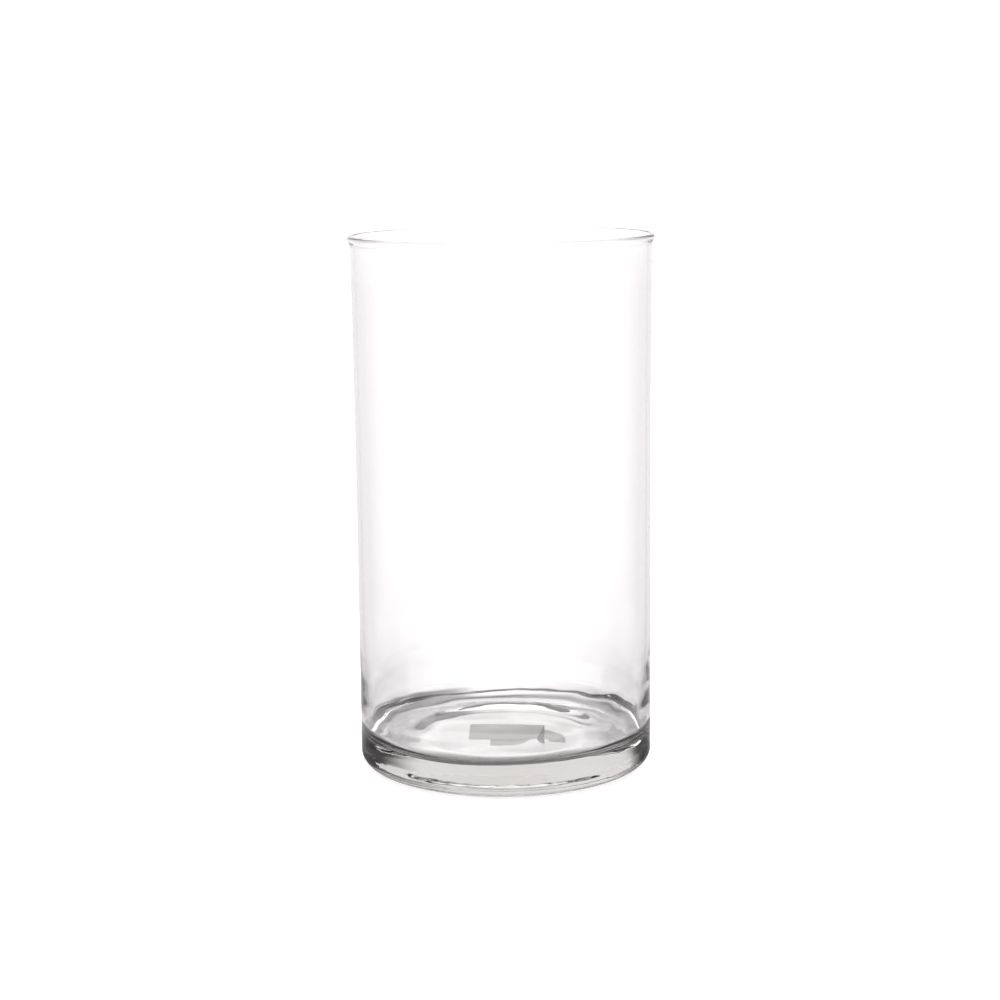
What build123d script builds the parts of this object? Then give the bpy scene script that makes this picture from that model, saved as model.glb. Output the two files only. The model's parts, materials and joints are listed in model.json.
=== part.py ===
from build123d import *
import os

# Glass cylinder vase with a thick solid base and two paper labels under it.
# Millimetres, +Z up. The origin is the centre of the circle it stands on.
# -Y is the front of the vase.

# ---- driving dimensions: glass ----
OUTER_R = 70.0           # outside of the wall
HEIGHT = 254.0           # table to the top of the lip
WALL = 2.2               # wall thickness
BASE_THICK = 16.0        # table to the inside floor
INNER_FILLET_R = 7.0     # between the wall and the inside floor
CORNER_WIDTH = 9.5       # rounding between the wall and the foot, a quarter ellipse
CORNER_HEIGHT = 7.0
FOOT_ROUND_R = 0.8       # blends on both edges of the recess step

# The underside is ground hollow, so the vase stands on a ring.
RECESS_R = 50.0          # radius of the hollow's edge
RECESS_DEPTH = 1.2
RECESS_STEP = 1.6        # radial width of the sloping step

# The wall is straight to half height, then opens very slightly towards the mouth.
STRAIGHT_TOP = 120.0     # height where the straight stretch ends
MOUTH_OPENING = 0.8      # how much wider the wall's radius is just under the lip

# The lip flares outwards and ends in a fire-polished bead.
LIP_FLARE = 1.0          # how far the wall's middle leans out at the lip
LIP_HEIGHT = 5.0         # height over which it leans out
LIP_BEAD_R = 1.3         # radius of the bead

# ---- driving dimensions: labels ----
LABEL_LENGTH = 36.5
LABEL_WIDTH = 22.5
LABEL_THICK = 0.15       # paper and glue together
LABEL_CORNER_R = 1.5
UPPER_CENTRE = (0.4, -0.8)
UPPER_TURN = -1.0        # degrees, anticlockwise from above
LOWER_CENTRE = (10.3, -4.6)
LOWER_TURN = 1.0
LOWER_TORN = (12.0, 14.5)  # the lower label's missing back right corner, along its length and width
LOWER_BOW = 4.4          # how far its front edge is bowed in, at the deepest
LOWER_BOW_R = 32.0       # radius of the bow
LOWER_BOW_AT = 5.0       # the bow's middle, to the right of the label's
TENT_GAP = 0.4           # free span where the lower label steps over the upper one's edge
TENT_JOIN = 0.8          # overlap that ties the two levels of the lower label together

INNER_R = OUTER_R - WALL


def vase_profile():
    """Half section of the glass, drawn in the XZ plane to the right of the axis."""
    mouth_r = OUTER_R + MOUTH_OPENING
    bead_r = mouth_r - WALL / 2 + LIP_FLARE
    bead_z = HEIGHT - LIP_BEAD_R
    lip_z = HEIGHT - LIP_HEIGHT
    with BuildSketch(Plane.XZ) as section:
        with BuildLine():
            # underside, from the axis outwards
            ceiling = Line((0, RECESS_DEPTH), (RECESS_R - RECESS_STEP, RECESS_DEPTH))
            step = Line(ceiling @ 1, (RECESS_R, 0))
            foot = Line(step @ 1, (OUTER_R - CORNER_WIDTH, 0))
            corner = EllipticalCenterArc(
                (OUTER_R - CORNER_WIDTH, CORNER_HEIGHT), CORNER_WIDTH, CORNER_HEIGHT, 270, arc_size=90
            )
            # outside of the wall, opening gently and then flaring into the lip
            wall_out = Line(corner @ 1, (OUTER_R, STRAIGHT_TOP))
            open_out = TangentArc(wall_out @ 1, (mouth_r, lip_z), tangent=(0, 1))
            flare_out = Spline(
                open_out @ 1, (bead_r + LIP_BEAD_R, bead_z), tangents=[open_out % 1, (0, 1)]
            )
            bead = ThreePointArc(
                flare_out @ 1, (bead_r, HEIGHT), (bead_r - LIP_BEAD_R, bead_z)
            )
            # inside of the lip and wall, down to the floor
            flare_in = Spline(
                bead @ 1, (mouth_r - WALL, lip_z), tangents=[(0, -1), -(open_out % 1)]
            )
            open_in = TangentArc((INNER_R, STRAIGHT_TOP), flare_in @ 1, tangent=(0, 1))
            wall_in = Line(open_in @ 0, (INNER_R, BASE_THICK + INNER_FILLET_R))
            fillet_in = TangentArc(
                wall_in @ 1, (INNER_R - INNER_FILLET_R, BASE_THICK), tangent=(0, -1)
            )
            floor = Line(fillet_in @ 1, (0, BASE_THICK))
            Line(floor @ 1, ceiling @ 0)
        make_face()
        step_ends = section.vertices().filter_by(
            lambda v: abs(v.X - (RECESS_R - RECESS_STEP)) < 0.01 or abs(v.X - RECESS_R) < 0.01
        )
        fillet(step_ends, FOOT_ROUND_R)
    return section.sketch


def vase_body():
    return revolve(vase_profile(), Axis.Z)


def label_outline(centre, turn, worn=False, grow=0.0):
    """A label's flat outline, seen from above, on the XY plane; worn adds the lower one's damage."""
    with BuildSketch() as outline:
        with Locations(Location((*centre, 0), (0, 0, turn))):
            RectangleRounded(
                LABEL_LENGTH + 2 * grow, LABEL_WIDTH + 2 * grow, LABEL_CORNER_R + grow
            )
            if worn:
                with Locations((LABEL_LENGTH / 2, LABEL_WIDTH / 2)):
                    torn = [(-LOWER_TORN[0], 0), (0, -LOWER_TORN[1]), (0, 0)]
                    Polygon(*torn, align=None, mode=Mode.SUBTRACT)
                with Locations((LOWER_BOW_AT, LOWER_BOW - LABEL_WIDTH / 2 - LOWER_BOW_R)):
                    Circle(LOWER_BOW_R, mode=Mode.SUBTRACT)
    return outline.sketch


def slab(outline, top):
    """The outline as one thickness of label, hanging down from the height top."""
    return extrude(Pos(0, 0, top) * outline, amount=-LABEL_THICK)


def label_upper():
    """The label that is stuck straight onto the glass."""
    return slab(label_outline(UPPER_CENTRE, UPPER_TURN), RECESS_DEPTH)


def label_lower():
    """The label that lies over the upper one, then steps up onto the glass beside it."""
    outline = label_outline(LOWER_CENTRE, LOWER_TURN, worn=True)
    near_upper = label_outline(UPPER_CENTRE, UPPER_TURN, grow=TENT_GAP)
    over_upper = label_outline(UPPER_CENTRE, UPPER_TURN, grow=TENT_GAP + TENT_JOIN)
    on_paper = slab(outline & over_upper, RECESS_DEPTH - LABEL_THICK)
    on_glass = slab(outline - near_upper, RECESS_DEPTH)
    return on_paper + on_glass


os.makedirs("parts", exist_ok=True)
nodes = {
    "vase_body": vase_body(),
    "label_upper": label_upper(),
    "label_lower": label_lower(),
}
for name, shape in nodes.items():
    export_step(shape, f"parts/{name}.step")
    box = shape.bounding_box()
    print(name, len(shape.solids()), round(shape.volume, 2), box.min, box.max)
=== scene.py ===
import json
import math

import bmesh
import bpy
from mathutils import Matrix, Vector, noise


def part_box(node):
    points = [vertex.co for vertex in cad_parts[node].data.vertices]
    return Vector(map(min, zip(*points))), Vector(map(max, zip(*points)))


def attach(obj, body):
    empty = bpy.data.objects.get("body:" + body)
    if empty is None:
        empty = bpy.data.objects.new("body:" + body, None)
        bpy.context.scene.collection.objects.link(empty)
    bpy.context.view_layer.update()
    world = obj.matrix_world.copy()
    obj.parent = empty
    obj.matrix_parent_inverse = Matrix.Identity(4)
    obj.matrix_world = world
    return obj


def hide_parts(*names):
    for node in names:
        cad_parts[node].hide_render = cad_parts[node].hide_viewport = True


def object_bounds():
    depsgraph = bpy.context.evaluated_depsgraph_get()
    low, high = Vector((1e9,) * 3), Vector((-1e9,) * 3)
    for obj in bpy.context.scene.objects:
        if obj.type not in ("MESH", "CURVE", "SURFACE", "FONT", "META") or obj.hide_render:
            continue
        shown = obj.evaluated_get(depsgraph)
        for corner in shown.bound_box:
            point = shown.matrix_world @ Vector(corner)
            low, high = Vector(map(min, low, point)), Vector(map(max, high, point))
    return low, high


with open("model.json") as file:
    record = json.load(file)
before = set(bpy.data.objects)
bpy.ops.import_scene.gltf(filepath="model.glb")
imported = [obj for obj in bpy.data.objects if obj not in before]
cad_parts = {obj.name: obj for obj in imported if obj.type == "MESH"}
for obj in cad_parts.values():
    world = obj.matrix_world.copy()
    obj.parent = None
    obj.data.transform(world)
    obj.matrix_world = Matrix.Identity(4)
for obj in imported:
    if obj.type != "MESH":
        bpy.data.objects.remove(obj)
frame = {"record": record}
cad_low, cad_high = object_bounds()


# ---- sizes, in metres, from the frame ----
def mount(name):
    """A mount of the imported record, by its name."""
    return next(m for m in frame["record"]["mounts"] if m["name"] == name)


BORE = mount("inside")
INNER_R = BORE["dims"]["r_mm"] / 1000
BORE_HALF = BORE["dims"]["length_mm"] / 2000
WALL_LOW_Z = BORE["pos_m"][2] - BORE_HALF        # where the straight inside wall starts
STRAIGHT_TOP = BORE["pos_m"][2] + BORE_HALF      # and where it starts to open
HEIGHT = cad_high.z
LIP_R = (cad_high.x - cad_low.x) / 2
CEILING_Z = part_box("label_upper")[1].z           # the hollow underside, which the labels hang from

# ---- sizes that the frame doesn't hold ----
WALL = 0.0022
BEAD_R = 0.0013
FILLET_R = 0.0070
CORNER_WIDTH = 0.0095
CORNER_HEIGHT = 0.0070
RECESS_R = 0.0500
RECESS_STEP = 0.0150                             # the width of the slope at the edge of the hollow
OPENING = 0.0008                                 # how much wider the wall's radius is at the lip
LIP_TALL = 0.005
OUTER_R = INNER_R + WALL
FLOOR_Z = WALL_LOW_Z - FILLET_R
MOUTH_R = OUTER_R + OPENING
LIP_Z = HEIGHT - LIP_TALL
BEAD_Z = HEIGHT - BEAD_R
BEAD_MID_R = LIP_R - BEAD_R
RIPPLE_TOP = 0.070                               # the waves in the glass have faded out at this height

SEGMENTS = 360                                   # round the vase
AXIS_R = 1e-9                                    # a point nearer to the axis than this is on it


# ---- glass outline ----
def arc(centre, radii, start, end, count):
    """Points of an elliptical arc, its end included and its start left out; degrees from +r."""
    turns = [math.radians(start + (end - start) * i / count) for i in range(1, count + 1)]
    return [(centre[0] + radii[0] * math.cos(t), centre[1] + radii[1] * math.sin(t)) for t in turns]


def run(start, end, count):
    """Points of a straight stretch, its end included and its start left out."""
    steps = [i / count for i in range(1, count + 1)]
    return [(start[0] + (end[0] - start[0]) * t, start[1] + (end[1] - start[1]) * t) for t in steps]


def smooth(t):
    """0 before t = 0, 1 after t = 1, smooth between."""
    t = min(max(t, 0.0), 1.0)
    return t * t * (3 - 2 * t)


def ease_upright(start, end, count):
    """Points of a stretch that leaves and arrives upright, as the flare of the lip does."""
    steps = [i / count for i in range(1, count + 1)]
    return [(start[0] + (end[0] - start[0]) * smooth(t), start[1] + (end[1] - start[1]) * t) for t in steps]


def ease_level(start, end, count):
    """Points of a step that leaves and arrives level, as the edge of the hollow underside does."""
    steps = [i / count for i in range(1, count + 1)]
    return [(start[0] + (end[0] - start[0]) * t, start[1] + (end[1] - start[1]) * smooth(t)) for t in steps]


def opening(radius, count):
    """Points of the upper wall, which opens gently from a straight start up to the lip."""
    steps = [i / count for i in range(1, count + 1)]
    rise = LIP_Z - STRAIGHT_TOP
    return [(radius + (MOUTH_R - OUTER_R) * t * t, STRAIGHT_TOP + rise * t) for t in steps]


def outer_profile():
    """(r, z) from the middle of the underside, round the outside, to the top of the lip."""
    points = [(0.0, CEILING_Z)]
    points += run(points[-1], (RECESS_R - RECESS_STEP, CEILING_Z), 18)
    points += ease_level(points[-1], (RECESS_R, 0.0), 8)
    points += run(points[-1], (OUTER_R - CORNER_WIDTH, 0.0), 10)
    points += arc((OUTER_R - CORNER_WIDTH, CORNER_HEIGHT), (CORNER_WIDTH, CORNER_HEIGHT), -90, 0, 22)
    points += run(points[-1], (OUTER_R, RIPPLE_TOP), 46)
    points += run(points[-1], (OUTER_R, STRAIGHT_TOP), 4)
    points += opening(OUTER_R, 8)
    points += ease_upright(points[-1], (LIP_R, BEAD_Z), 8)
    points += arc((BEAD_MID_R, BEAD_Z), (BEAD_R, BEAD_R), 0, 90, 8)
    return points


def inner_profile():
    """(r, z) from the top of the lip, down the inside, to the middle of the floor."""
    points = arc((BEAD_MID_R, BEAD_Z), (BEAD_R, BEAD_R), 90, 180, 8)
    points += ease_upright(points[-1], (MOUTH_R - WALL, LIP_Z), 8)
    points += opening(INNER_R, 8)[-2::-1] + [(INNER_R, STRAIGHT_TOP)]
    points += run(points[-1], (INNER_R, RIPPLE_TOP), 4)
    points += run(points[-1], (INNER_R, WALL_LOW_Z), 34)
    points += arc((INNER_R - FILLET_R, WALL_LOW_Z), (FILLET_R, FILLET_R), 0, -90, 20)
    points += run(points[-1], (0.0, FLOOR_Z), 34)
    return points


# ---- how hand-finished glass departs from the outline, in metres ----
FOOT_TOP = 0.016                                 # the outside waves are full up to this height
FOOT_RINGS = 0.00011                             # level rings round the foot
FOOT_DENTS = 0.00002                             # small dents between them
RIGHT_DENTS = 0.00016                            # how much deeper these are on the right
INNER_WAVES_TOP = 0.020                          # the inside waves are full up to this height
INNER_WAVES = 0.00005
WALL_SWELL = 0.0009                              # how much thicker the wall gets towards the floor
FLOOR_LIFT = 0.0002                              # how far the floor's middle stands above its flat place
FLOOR_LEAN = 0.0011                              # how far it rises from its middle to its back
HUMP_AT = (0.032, 0.052)                         # a low hump on the floor, at the back right
HUMP_HEIGHT = 0.0008
HUMP_WIDTH = 0.026
FINE_WAVES = 0.00002                             # on the floor and the underside
FLOOR_FADE = 1.6 * FILLET_R                      # above the floor, where its unevenness has faded out


def ripple(x, y, z, across, upright, seed):
    """Smooth noise, about -1 to 1, whose waves are `across` metres wide and `upright` metres tall."""
    return noise.noise(Vector((x / across + seed, y / across, z / upright)))


def outer_drift(x, y, z):
    """Radial waves on the outside of the base, in metres: rings round the foot, rougher on the right."""
    fade = 1 - smooth((z - FOOT_TOP) / (RIPPLE_TOP - FOOT_TOP))
    right = smooth((x - 0.2 * y) / OUTER_R)
    rings = FOOT_RINGS * ripple(x, y, z, across=0.045, upright=0.0035, seed=3.1)
    dents = (FOOT_DENTS + RIGHT_DENTS * right) * ripple(x, y, z, across=0.009, upright=0.007, seed=7.7)
    return fade * (rings + dents)


def inner_drift(x, y, z):
    """Radial waves on the inside wall just above the floor, where the wall also thickens."""
    fade = 1 - smooth((z - INNER_WAVES_TOP) / (RIPPLE_TOP - INNER_WAVES_TOP))
    waves = INNER_WAVES * ripple(x, y, z, across=0.050, upright=0.0045, seed=11.3)
    return fade * (waves - WALL_SWELL * fade)


def floor_drift(x, y):
    """How far the inside floor stands above its flat place: it is higher at the back right."""
    lean = FLOOR_LIFT + FLOOR_LEAN * ((0.4 * x + y) / INNER_R) ** 3
    hump = math.exp(-((x - HUMP_AT[0]) ** 2 + (y - HUMP_AT[1]) ** 2) / HUMP_WIDTH ** 2)
    return lean + HUMP_HEIGHT * hump + FINE_WAVES * ripple(x, y, 0, across=0.020, upright=1, seed=5.9)


def under_drift(x, y):
    """How far the underside stands off its flat place."""
    return FINE_WAVES * ripple(x, y, 0, across=0.016, upright=1, seed=1.7)


def outer_point(r, z, turn):
    """A point of the outside, `turn` radians round, with its unevenness."""
    x, y = r * math.cos(turn), r * math.sin(turn)
    side = smooth(z / CORNER_HEIGHT)
    r += side * outer_drift(x, y, z)
    if r < OUTER_R - CORNER_WIDTH / 2:
        z += abs(under_drift(x, y)) if z < CEILING_Z / 2 else under_drift(x, y)
    return r * math.cos(turn), r * math.sin(turn), z


def inner_point(r, z, turn):
    """A point of the inside, `turn` radians round, with its unevenness."""
    x, y = r * math.cos(turn), r * math.sin(turn)
    low = 1 - smooth((z - FLOOR_Z) / FLOOR_FADE)
    z += low * floor_drift(x, y)
    r += (1 - low) * inner_drift(x, y, z)
    return r * math.cos(turn), r * math.sin(turn), z


def skin(bm, rings):
    """Faces between each ring of points and the next; a ring of one point closes the skin."""
    for a, b in zip(rings, rings[1:]):
        count = max(len(a), len(b))
        for k in range(count):
            corners = [a[k % len(a)], a[(k + 1) % len(a)], b[(k + 1) % len(b)], b[k % len(b)]]
            bm.faces.new(list(dict.fromkeys(corners)))


def glass_piece():
    """The vase as one closed skin: the outside from the middle of the underside, then the inside."""
    bm = bmesh.new()
    turns = [2 * math.pi * k / SEGMENTS for k in range(SEGMENTS)]
    rings = []
    for points, place in ((outer_profile(), outer_point), (inner_profile(), inner_point)):
        for r, z in points:
            if r < AXIS_R:
                rings.append([bm.verts.new(place(r, z, 0))])
            else:
                rings.append([bm.verts.new(place(r, z, t)) for t in turns])
    skin(bm, rings)
    bmesh.ops.recalc_face_normals(bm, faces=bm.faces)
    for face in bm.faces:
        face.smooth = True
    mesh = bpy.data.meshes.new("glass_vase")
    bm.to_mesh(mesh)
    bm.free()
    piece = bpy.data.objects.new("glass_vase", mesh)
    bpy.context.scene.collection.objects.link(piece)
    return piece


# ---- glass material ----
class NodeMath:
    """Short names for the maths nodes of one node tree."""

    def __init__(self, tree):
        self.nodes, self.links = tree.nodes, tree.links

    def __call__(self, operation, *inputs):
        node = self.nodes.new("ShaderNodeMath")
        node.operation = operation
        for socket, value in zip(node.inputs, inputs):
            if isinstance(value, (int, float)):
                socket.default_value = value
            else:
                self.links.new(value, socket)
        return node.outputs[0]

    def rise(self, value, start, end):
        """0 before start, 1 after end, smooth between."""
        node = self.nodes.new("ShaderNodeMapRange")
        node.interpolation_type = "SMOOTHSTEP"
        node.inputs["From Min"].default_value = start
        node.inputs["From Max"].default_value = end
        self.links.new(value, node.inputs["Value"])
        return node.outputs["Result"]

    def fall(self, value, start, end):
        """1 before start, 0 after end, smooth between."""
        return self("SUBTRACT", 1.0, self.rise(value, start, end))

    def blend(self, factor, before, after):
        """before where factor is 0, after where it is 1."""
        node = self.nodes.new("ShaderNodeMix")
        for socket, value in (("Factor", factor), ("A", before), ("B", after)):
            if isinstance(value, (int, float)):
                node.inputs[socket].default_value = value
            else:
                self.links.new(value, node.inputs[socket])
        return node.outputs["Result"]

    def band(self, value, start, end, soft):
        """1 between start and end, 0 outside them, with a smooth edge `soft` wide on each side."""
        rise = self.rise(value, start - soft, start + soft)
        return self("MULTIPLY", rise, self.fall(value, end - soft, end + soft))


GLASS_IOR = 1.5
GLASS_TINT = (0.20, 0.21, 0.16, 1)               # grey, barely green
TINT_DENSITY = 4.5
SCUFF_SCALE = 260                                # waves per metre
SCUFF_RANGE = (0.45, 0.62)                       # the part of the noise that shows as scuffs
SCUFF_ROUGHNESS = 0.22
SCUFF_HEIGHT = (0.0001, 0.0005)                  # they end this far above the table
SCUFF_START_R = (0.048, 0.051)                   # and start this far out
STREAK_SCALE = (55, 55, 190)                     # waves per metre: the streaks lie level
STREAK_DEPTH = 0.00020
STREAK_REST = 0.02                               # how much of them is left away from the foot
FOOT_FADE_Z = (0.006, 0.018)                     # the foot's streaks fade out upwards
FOOT_START_R = (0.060, 0.066)                    # and inwards


def glass_material():
    """Clear glass, a little grey in the thick base. The ring it stands on is scuffed, and the foot has
    the shallow streaks that a mould leaves."""
    mat = bpy.data.materials.new("clear_glass")
    mat.use_nodes = True
    m = NodeMath(mat.node_tree)
    shader = m.nodes["Principled BSDF"]
    shader.inputs["Base Color"].default_value = (1.0, 1.0, 1.0, 1)
    shader.inputs["IOR"].default_value = GLASS_IOR
    shader.inputs["Transmission Weight"].default_value = 1.0
    place = m.nodes.new("ShaderNodeTexCoord")
    split = m.nodes.new("ShaderNodeSeparateXYZ")
    m.links.new(place.outputs["Object"], split.inputs[0])
    x, y, z = split.outputs
    radius = m("SQRT", m("ADD", m("MULTIPLY", x, x), m("MULTIPLY", y, y)))

    scuffs = m.nodes.new("ShaderNodeTexNoise")
    scuffs.inputs["Scale"].default_value = SCUFF_SCALE
    scuffs.inputs["Detail"].default_value = 5
    m.links.new(place.outputs["Object"], scuffs.inputs["Vector"])
    on_ring = m("MULTIPLY", m.fall(z, *SCUFF_HEIGHT), m.rise(radius, *SCUFF_START_R))
    worn = m("MULTIPLY", on_ring, m.rise(scuffs.outputs["Fac"], *SCUFF_RANGE))
    m.links.new(m("MULTIPLY", worn, SCUFF_ROUGHNESS), shader.inputs["Roughness"])

    level = m.nodes.new("ShaderNodeMapping")
    level.inputs["Scale"].default_value = STREAK_SCALE
    m.links.new(place.outputs["Object"], level.inputs["Vector"])
    streaks = m.nodes.new("ShaderNodeTexNoise")
    streaks.inputs["Scale"].default_value = 1.0
    streaks.inputs["Detail"].default_value = 2
    streaks.inputs["Distortion"].default_value = 0.6
    m.links.new(level.outputs["Vector"], streaks.inputs["Vector"])
    on_foot = m("MULTIPLY", m.fall(z, *FOOT_FADE_Z), m.rise(radius, *FOOT_START_R))
    depth = m("ADD", STREAK_REST, m("MULTIPLY", on_foot, 1 - STREAK_REST))
    bump = m.nodes.new("ShaderNodeBump")
    bump.inputs["Strength"].default_value = 1.0
    bump.inputs["Distance"].default_value = STREAK_DEPTH
    m.links.new(m("MULTIPLY", streaks.outputs["Fac"], depth), bump.inputs["Height"])
    m.links.new(bump.outputs["Normal"], shader.inputs["Normal"])

    tint = m.nodes.new("ShaderNodeVolumeAbsorption")
    tint.inputs["Color"].default_value = GLASS_TINT
    tint.inputs["Density"].default_value = TINT_DENSITY
    m.links.new(tint.outputs["Volume"], m.nodes["Material Output"].inputs["Volume"])
    return mat


glass = glass_piece()
glass.data.materials.append(glass_material())
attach(glass, "root")
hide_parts("vase_body")


# ---- labels ----
LABEL_LENGTH = 0.0365
LABEL_WIDTH = 0.0225
LABEL_CORNER_R = 0.0015
PAPER = 0.00012
AIR = 0.00005                                    # dry paper glue leaves the label this far below the glass
WRINKLE = 0.00002
UPPER_AT, UPPER_TURN = (0.0004, -0.0008), -1     # each label's middle, and its turn in degrees
LOWER_AT, LOWER_TURN = (0.0103, -0.0046), 1
SHADE_STRIP_WIDTH = 0.0032                              # the upper label's right end is dark paper, painted shade; the strip's width at the front
SHADE_STRIP_LEAST = 0.0004                              # and at the back
SHADE_STRIP_REACH = 0.0034                              # how far forward it stands past the front edge
SHADE_STRIP_REACH_RUN = 0.0050
LOWER_TORN = (0.0120, 0.0145)                    # the missing corner, along the length and the width
TEAR_WANDER = 0.0003
LOWER_BOW = 0.0046                               # how far the lower label's front edge is bowed in
LOWER_BOW_AT = 0.0055
LOWER_BOW_WIDTH = 0.0095
UPPER_THROUGH = 0.00036                          # how far the lower label drops to pass under the upper one
STEP_AT = 0.0075                                 # where it comes up again
STEP_RUN = 0.0012
ROWS = 28                                        # of faces across a label
FLAT_COLUMNS = 56                                # along the upper label, left of its painted shade strip
SHADE_STRIP_COLUMNS = 8                                 # and in its painted shade strip
LOWER_COLUMNS = 64                               # along the lower label


def corner_inset(across, width, radius):
    """How far a rounded corner pulls the end of a label in, at `across` from its middle line."""
    past = abs(across) - (width / 2 - radius)
    return radius - math.sqrt(max(radius * radius - past * past, 0)) if past > 0 else 0.0


def evenly(start, end, count):
    """Values from start to end, both included, in count equal steps."""
    return [start + (end - start) * i / count for i in range(count + 1)]


def no_bow(u):
    """A straight front edge."""
    return 0.0


def paper_grid(name, columns, drop, shaded_from=None, bow=no_bow):
    """A sheet whose points stand at columns(v) along its length, with its thickness.

    It hangs drop(u, v) below its flat place. The columns from number `shaded_from` take the second
    material, a dark paper that paints shade. The front edge is pulled in by bow(u)."""
    bm = bmesh.new()
    along_count = len(columns(0.0)) - 1
    layers = []
    for depth in (0.0, PAPER):
        rows = []
        for j in range(ROWS + 1):
            v = -LABEL_WIDTH / 2 + LABEL_WIDTH * j / ROWS
            row = []
            for u in columns(v):
                pulled = v + bow(u) * (0.5 - v / LABEL_WIDTH)
                row.append(bm.verts.new((u, pulled, -AIR - drop(u, v) - depth)))
            rows.append(row)
        layers.append(rows)
    top, under = layers
    for rows, order in ((top, 1), (under, -1)):
        for j in range(ROWS):
            for i in range(along_count):
                corners = [rows[j][i], rows[j][i + 1], rows[j + 1][i + 1], rows[j + 1][i]]
                face = bm.faces.new(corners[::order])
                # the columns from shaded_from take the dark paper that paints shade
                face.material_index = 1 if shaded_from and i >= shaded_from else 0
                face.smooth = True
    edge = [(j, 0) for j in range(ROWS)]
    edge += [(ROWS, i) for i in range(along_count)]
    edge += [(j, along_count) for j in range(ROWS, 0, -1)]
    edge += [(0, i) for i in range(along_count, 0, -1)]
    for (j, i), (next_j, next_i) in zip(edge, edge[1:] + edge[:1]):
        bm.faces.new([top[j][i], top[next_j][next_i], under[next_j][next_i], under[j][i]])
    bmesh.ops.recalc_face_normals(bm, faces=bm.faces)
    mesh = bpy.data.meshes.new(name)
    bm.to_mesh(mesh)
    bm.free()
    piece = bpy.data.objects.new(name, mesh)
    bpy.context.scene.collection.objects.link(piece)
    return piece


def place_label(piece, centre, turn):
    """Puts a label made round the origin in its place under the base."""
    spin = Matrix.Rotation(math.radians(turn), 4, "Z")
    piece.data.transform(Matrix.Translation((centre[0], centre[1], CEILING_Z)) @ spin)


def shade_strip_start(v):
    """Where the painted shade strip at the upper label's right end starts; the strip widens towards the
    front.
    """
    return LABEL_LENGTH / 2 - SHADE_STRIP_LEAST - SHADE_STRIP_WIDTH * (0.5 - v / LABEL_WIDTH)


def upper_drop(u, v):
    """The upper label lies flat but for its wrinkles."""
    return WRINKLE * (1 + noise.noise(Vector((u * 260, v * 200, 2.0))))


def lower_drop(u, v):
    """The lower label passes under the upper one, and comes up to the glass beside it, wrinkled."""
    under_upper = 1 - smooth((u - STEP_AT) / STEP_RUN)
    wrinkle = WRINKLE * (1 + noise.noise(Vector((u * 330, v * 160, 5.0))))
    return UPPER_THROUGH * under_upper + wrinkle


def label_end(v):
    """A whole label's end, with its rounded corners."""
    return LABEL_LENGTH / 2 - corner_inset(v, LABEL_WIDTH, LABEL_CORNER_R)


def lower_bow(u):
    """How far the lower label's front edge is pulled in: a shallow bow right of its middle."""
    return LOWER_BOW * math.exp(-((u - LOWER_BOW_AT) / LOWER_BOW_WIDTH) ** 2)


def lower_end(v):
    """The lower label's right end, whose back corner is torn away on a slant."""
    past = max(v - (LABEL_WIDTH / 2 - LOWER_TORN[1]), 0)
    slant = LABEL_LENGTH / 2 - past * LOWER_TORN[0] / LOWER_TORN[1]
    return min(label_end(v), slant + TEAR_WANDER * noise.noise(Vector((v * 900, 1.0, 0))))


def paper_material(name, light, dark):
    """Matt paper, its fibres between a light and a dark tone."""
    mat = bpy.data.materials.new(name)
    mat.use_nodes = True
    nodes, links = mat.node_tree.nodes, mat.node_tree.links
    shader = nodes["Principled BSDF"]
    place = nodes.new("ShaderNodeTexCoord")
    fibres = nodes.new("ShaderNodeTexNoise")
    fibres.inputs["Scale"].default_value = 900
    fibres.inputs["Detail"].default_value = 6
    tone = nodes.new("ShaderNodeValToRGB")
    tone.color_ramp.elements[0].position = 0.35
    tone.color_ramp.elements[0].color = dark
    tone.color_ramp.elements[1].position = 0.7
    tone.color_ramp.elements[1].color = light
    bump = nodes.new("ShaderNodeBump")
    bump.inputs["Strength"].default_value = 0.3
    bump.inputs["Distance"].default_value = 0.00005
    links.new(place.outputs["Object"], fibres.inputs["Vector"])
    links.new(fibres.outputs["Fac"], tone.inputs["Fac"])
    links.new(tone.outputs["Color"], shader.inputs["Base Color"])
    links.new(fibres.outputs["Fac"], bump.inputs["Height"])
    links.new(bump.outputs["Normal"], shader.inputs["Normal"])
    shader.inputs["Roughness"].default_value = 0.75
    return mat


upper_paper = paper_material("label_paper", (0.90, 0.88, 0.875, 1), (0.78, 0.76, 0.755, 1))
lower_paper = paper_material("label_paper_lower", (0.90, 0.88, 0.875, 1), (0.80, 0.78, 0.775, 1))
# near-black paper for the strip at the upper label's right end: painted shade
painted_shade_paper = paper_material("label_back", (0.05, 0.048, 0.047, 1), (0.03, 0.029, 0.028, 1))


def upper_columns(v):
    """Where the upper label's points stand along its length; one column follows the edge of the painted
    shade strip.
    """
    flat = evenly(-label_end(v), shade_strip_start(v), FLAT_COLUMNS)
    return flat + evenly(shade_strip_start(v), label_end(v), SHADE_STRIP_COLUMNS)[1:]


def lower_columns(v):
    """Where the lower label's points stand along its length; the last column follows its torn end."""
    return evenly(-label_end(v), lower_end(v), LOWER_COLUMNS)


def upper_bow(u):
    """The end with the painted shade strip reaches a little further forward than the rest of the front
    edge.
    """
    return -SHADE_STRIP_REACH * smooth((u - LABEL_LENGTH / 2 + SHADE_STRIP_REACH_RUN) / SHADE_STRIP_REACH_RUN)


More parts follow.
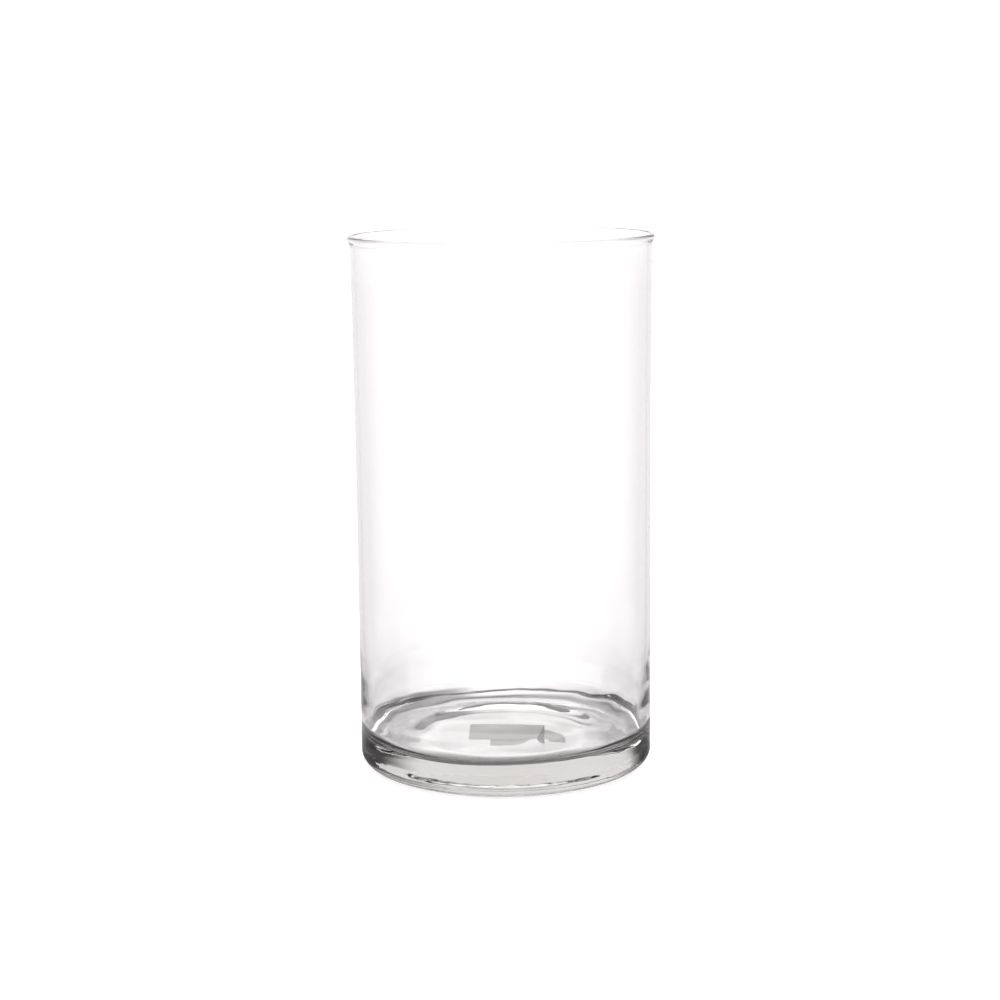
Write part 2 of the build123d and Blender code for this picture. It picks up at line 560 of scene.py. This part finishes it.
upper = paper_grid("paper_upper", upper_columns, upper_drop, shaded_from=FLAT_COLUMNS, bow=upper_bow)
place_label(upper, UPPER_AT, UPPER_TURN)
lower = paper_grid("paper_lower", lower_columns, lower_drop, bow=lower_bow)
place_label(lower, LOWER_AT, LOWER_TURN)
for piece, node, paper in ((upper, "label_upper", upper_paper), (lower, "label_lower", lower_paper)):
    piece.data.materials.append(paper)
    piece.data.materials.append(painted_shade_paper)
    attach(piece, "root")
    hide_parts(node)


# ---- studio table ----
# "Round" is in degrees from straight behind the vase, and "out" in metres from its axis. A third number
# is the softness of a band's two edges.
# The glow that the table shows to all but the eye is painted light and painted shadow round the vase.
GLOW_COLOR = (1.0, 0.97, 0.98, 1)
FLOOR_R = 3.0
FLOOR_GLOW = 0.55                                # keeps the table white where the eye sees it
TABLE_BRIGHT = 1.17                              # straight behind the vase
TABLE_SIDE = (10, 102)                           # round, where that falls off
TABLE_SIDE_LOSS = 0.86
TABLE_EDGE = (6, 17)                             # round, the first small step of it
TABLE_EDGE_LOSS = 0.11
TABLE_FRONT = (104, 140)                         # round, where it comes back at the front
TABLE_FRONT_GAIN = 0.75
PAINTED_PATCH_OUT = (0.118, 0.220, 0.014)               # a painted patch of light beside the vase
PAINTED_PATCH_ROUND = (65, 112, 10)
PAINTED_PATCH_GAIN = 0.5
FAR_SIDE = (54, 84)                              # round, where the far table is bright again
FAR_OUT = (0.22, 0.40)
FAR_BRIGHT = 0.95
SHADOW_OUT = (0.083, 0.094)                      # where the painted shadow, back and to the vase's left, fades out
SHADOW_START = (8, 22)                           # to the left, in degrees
SHADOW_END = (44, 60)
SHADOW_LOSS = 0.65
CONTACT_BRIGHT = 0.12                            # painted shade where the foot curves down to the table
CONTACT_OUT = (0.0665, 0.0715)
RING_BRIGHT = 0.56                               # painted shade under the ring that the vase stands on
RING_FRONT_BRIGHT = 0.10                         # the same, at the front
RING_FRONT = (112, 146)                          # round, where the front of the ring starts
RING_OUT = (0.0600, 0.0640)
UNDER_BRIGHT = 1.00                              # painted light under the hollow of the base
UNDER_OUT = (0.0370, 0.0520)
UNDER_FRONT_IN = 0.005                           # how much sooner the hollow's light ends at the front


def side_falloff(m, away):
    """How the low light fades from straight behind the vase round to its sides."""
    side = m("SUBTRACT", 1.0, m("MULTIPLY", m.rise(away, *TABLE_SIDE), TABLE_SIDE_LOSS))
    edge = m("SUBTRACT", 1.0, m("MULTIPLY", m.rise(away, *TABLE_EDGE), TABLE_EDGE_LOSS))
    return m("MULTIPLY", side, edge)


def far_light(m, away, far, near_light):
    """Well away from the vase, the light comes back again further round to the side."""
    return m.blend(m("MULTIPLY", m.rise(away, *FAR_SIDE), far), near_light, FAR_BRIGHT)


def painted_table_light(m, place):
    """How bright the table's painted glow is where the glass sees it: painted light full behind the vase,
    painted shade beside it, dark painted shade at the foot.
    """
    split = m.nodes.new("ShaderNodeSeparateXYZ")
    m.links.new(place.outputs["Object"], split.inputs[0])
    x, y = split.outputs["X"], split.outputs["Y"]
    radius = m("SQRT", m("ADD", m("MULTIPLY", x, x), m("MULTIPLY", y, y)))
    away = m("ABSOLUTE", m("MULTIPLY", m("ARCTAN2", x, y), 180 / math.pi))
    open_light = side_falloff(m, away)
    open_light = m("ADD", open_light, m("MULTIPLY", m.rise(away, *TABLE_FRONT), TABLE_FRONT_GAIN))
    painted_patch = m("MULTIPLY", m.band(radius, *PAINTED_PATCH_OUT), m.band(away, *PAINTED_PATCH_ROUND))
    open_light = m("ADD", open_light, m("MULTIPLY", painted_patch, PAINTED_PATCH_GAIN))
    open_light = far_light(m, away, m.rise(radius, *FAR_OUT), open_light)
    left = m("MULTIPLY", m("ARCTAN2", x, y), -180 / math.pi)
    shadow = m("MULTIPLY", m.rise(left, *SHADOW_START), m.fall(left, *SHADOW_END))
    shadow = m("MULTIPLY", shadow, m.fall(radius, *SHADOW_OUT))
    open_light = m("MULTIPLY", open_light, m("SUBTRACT", 1.0, m("MULTIPLY", shadow, SHADOW_LOSS)))
    open_light = m("MULTIPLY", open_light, TABLE_BRIGHT)
    light = m.blend(m.rise(radius, *CONTACT_OUT), CONTACT_BRIGHT, open_light)
    front = m.rise(away, *RING_FRONT)
    ring = m.blend(front, RING_BRIGHT, RING_FRONT_BRIGHT)
    light = m.blend(m.fall(radius, *RING_OUT), light, ring)
    hollow_edge = m("ADD", radius, m("MULTIPLY", front, UNDER_FRONT_IN))
    return m.blend(m.fall(hollow_edge, *UNDER_OUT), light, UNDER_BRIGHT)


def floor_material():
    """A pale studio table. The eye sees it evenly white, and the glass sees a glow painted with light and
    shadow round the vase.
    """
    mat = bpy.data.materials.new("pale_floor")
    mat.use_nodes = True
    m = NodeMath(mat.node_tree)
    shader = m.nodes["Principled BSDF"]
    place = m.nodes.new("ShaderNodeTexCoord")
    grain = m.nodes.new("ShaderNodeTexNoise")
    grain.inputs["Scale"].default_value = 400
    tone = m.nodes.new("ShaderNodeValToRGB")
    tone.color_ramp.elements[0].color = (0.78, 0.76, 0.765, 1)
    tone.color_ramp.elements[1].color = (0.82, 0.80, 0.805, 1)
    m.links.new(place.outputs["Object"], grain.inputs["Vector"])
    m.links.new(grain.outputs["Fac"], tone.inputs["Fac"])
    m.links.new(tone.outputs["Color"], shader.inputs["Base Color"])
    shader.inputs["Roughness"].default_value = 0.8
    shader.inputs["Specular IOR Level"].default_value = 0.1
    shader.inputs["Emission Color"].default_value = GLOW_COLOR
    shader.inputs["Emission Strength"].default_value = FLOOR_GLOW
    painted_glow = m.nodes.new("ShaderNodeEmission")
    painted_glow.inputs["Color"].default_value = GLOW_COLOR
    m.links.new(painted_table_light(m, place), painted_glow.inputs["Strength"])
    path = m.nodes.new("ShaderNodeLightPath")
    either = m.nodes.new("ShaderNodeMixShader")
    m.links.new(path.outputs["Is Camera Ray"], either.inputs["Fac"])
    m.links.new(painted_glow.outputs["Emission"], either.inputs[1])
    m.links.new(shader.outputs["BSDF"], either.inputs[2])
    m.links.new(either.outputs["Shader"], m.nodes["Material Output"].inputs["Surface"])
    return mat


def studio_floor():
    """The round table top that everything stands on."""
    bm = bmesh.new()
    bmesh.ops.create_circle(bm, cap_ends=True, segments=128, radius=FLOOR_R)
    mesh = bpy.data.meshes.new("studio_floor")
    bm.to_mesh(mesh)
    bm.free()
    piece = bpy.data.objects.new("studio_floor", mesh)
    bpy.context.scene.collection.objects.link(piece)
    piece.data.materials.append(floor_material())
    return piece


floor = studio_floor()


# ---- studio light ----
# "Up" is in degrees above level.
LIGHT = (1.20, 1.165, 1.175, 1)                  # the plain background, just bright enough to print white
RIGHT_DARK = (13, 34)                            # round, where the background fades out, to the right
LEFT_DARK = (32, 50)                             # and to the left, both at LEAN_UP
LEAN_UP = 10
RIGHT_LEAN = 1.5                                 # each degree higher, it fades out this much later
LEFT_LEAN = 1.0
DARK_UP = (4, 60, 3)
DARK_END = (80, 92)                              # round, where the soft light of the sides takes over
DARK_REST = 0.06                                 # the light that the dark zones keep
BESIDE_ROUND = (86, 122, 6)                      # the soft lights beside the vase
BESIDE_UP = (1, 26, 5)
BESIDE_GAIN = 2.2
BEHIND_ROUND = (20, 30)                          # the brighter background high behind it
BEHIND_UP = (22, 55, 4)
BEHIND_GAIN = 0.5
FRONT_ROUND = (116, 128)                         # the duller room in front of it
FRONT_UP = (-2, 45, 6)
FRONT_LOSS = 0.35
TOP_UP = (50, 66)
TOP_GAIN = 0.5
SHADE_ROUND = (8, 16)                            # the duller stretch behind, which the floor mirrors
SHADE_UP = (10.0, 15.7, 0.6)
SHADE_LOSS = 0.55
LEVEL = (-1.5, 1.5)                              # up, where the table's light gives way to the room's


def studio_world():
    """Soft light by direction, round and up. The eye sees it as one plain white."""
    world = bpy.data.worlds.new("studio")
    world.use_nodes = True
    m = NodeMath(world.node_tree)
    aim = m.nodes.new("ShaderNodeTexCoord")
    split = m.nodes.new("ShaderNodeSeparateXYZ")
    m.links.new(aim.outputs["Generated"], split.inputs[0])
    turn = m("ARCTAN2", split.outputs["X"], split.outputs["Y"])
    right = m("MULTIPLY", turn, 180 / math.pi)
    left = m("MULTIPLY", right, -1.0)
    away = m("ABSOLUTE", right)
    up = m("MULTIPLY", m("ARCSINE", split.outputs["Z"]), 180 / math.pi)
    higher = m("SUBTRACT", up, LEAN_UP)
    right_edge = m.rise(m("SUBTRACT", right, m("MULTIPLY", higher, RIGHT_LEAN)), *RIGHT_DARK)
    left_edge = m.rise(m("SUBTRACT", left, m("MULTIPLY", higher, LEFT_LEAN)), *LEFT_DARK)
    right_edge = m("MULTIPLY", right_edge, m("GREATER_THAN", right, 0.0))
    left_edge = m("MULTIPLY", left_edge, m("GREATER_THAN", left, 0.0))
    sides = m("ADD", left_edge, right_edge)
    sides = m("MULTIPLY", sides, m.fall(away, *DARK_END))
    dark = m("MULTIPLY", sides, m.band(up, *DARK_UP))
    beside = m("MULTIPLY", m.band(away, *BESIDE_ROUND), m.band(up, *BESIDE_UP))
    behind = m("MULTIPLY", m.fall(away, *BEHIND_ROUND), m.band(up, *BEHIND_UP))
    top = m.rise(up, *TOP_UP)
    front = m("MULTIPLY", m.rise(away, *FRONT_ROUND), m.band(up, *FRONT_UP))
    strength = m("ADD", 1.0, m("MULTIPLY", beside, BESIDE_GAIN))
    strength = m("SUBTRACT", strength, m("MULTIPLY", front, FRONT_LOSS))
    strength = m("ADD", strength, m("MULTIPLY", behind, BEHIND_GAIN))
    strength = m("MULTIPLY", strength, m("SUBTRACT", 1.0, m("MULTIPLY", dark, 1 - DARK_REST)))
    strength = m("ADD", strength, m("MULTIPLY", top, TOP_GAIN))
    shade = m("MULTIPLY", m.fall(away, *SHADE_ROUND), m.band(up, *SHADE_UP))
    strength = m("MULTIPLY", strength, m("SUBTRACT", 1.0, m("MULTIPLY", shade, SHADE_LOSS)))
    low = far_light(m, away, 1.0, side_falloff(m, away))
    strength = m.blend(m.rise(up, *LEVEL), low, strength)
    path = m.nodes.new("ShaderNodeLightPath")
    strength = m.blend(path.outputs["Is Camera Ray"], strength, 1.0)
    background = m.nodes["Background"]
    background.inputs["Color"].default_value = LIGHT
    m.links.new(strength, background.inputs["Strength"])
    return world


bpy.context.scene.world = studio_world()
bpy.context.scene.view_settings.view_transform = "Standard"


# ---- camera ----
CAMERA_X = -0.0017
CAMERA_BACK = 1.065
CAMERA_Z = 0.3130
CAMERA_PITCH = 9.87                              # degrees down from level
CAMERA_ROLL = -0.6
CAMERA_LENS = 81.5                               # millimetres, on a 36 mm sensor
data = bpy.data.cameras.new("camera")
data.lens = CAMERA_LENS
data.sensor_width = 36
data.clip_start = 0.01
camera = bpy.data.objects.new("camera", data)
bpy.context.scene.collection.objects.link(camera)
tilt = Matrix.Rotation(math.radians(90 - CAMERA_PITCH), 4, "X")
roll = Matrix.Rotation(math.radians(CAMERA_ROLL), 4, "Z")
camera.matrix_world = Matrix.Translation((CAMERA_X, -CAMERA_BACK, CAMERA_Z)) @ tilt @ roll
bpy.context.scene.camera = camera
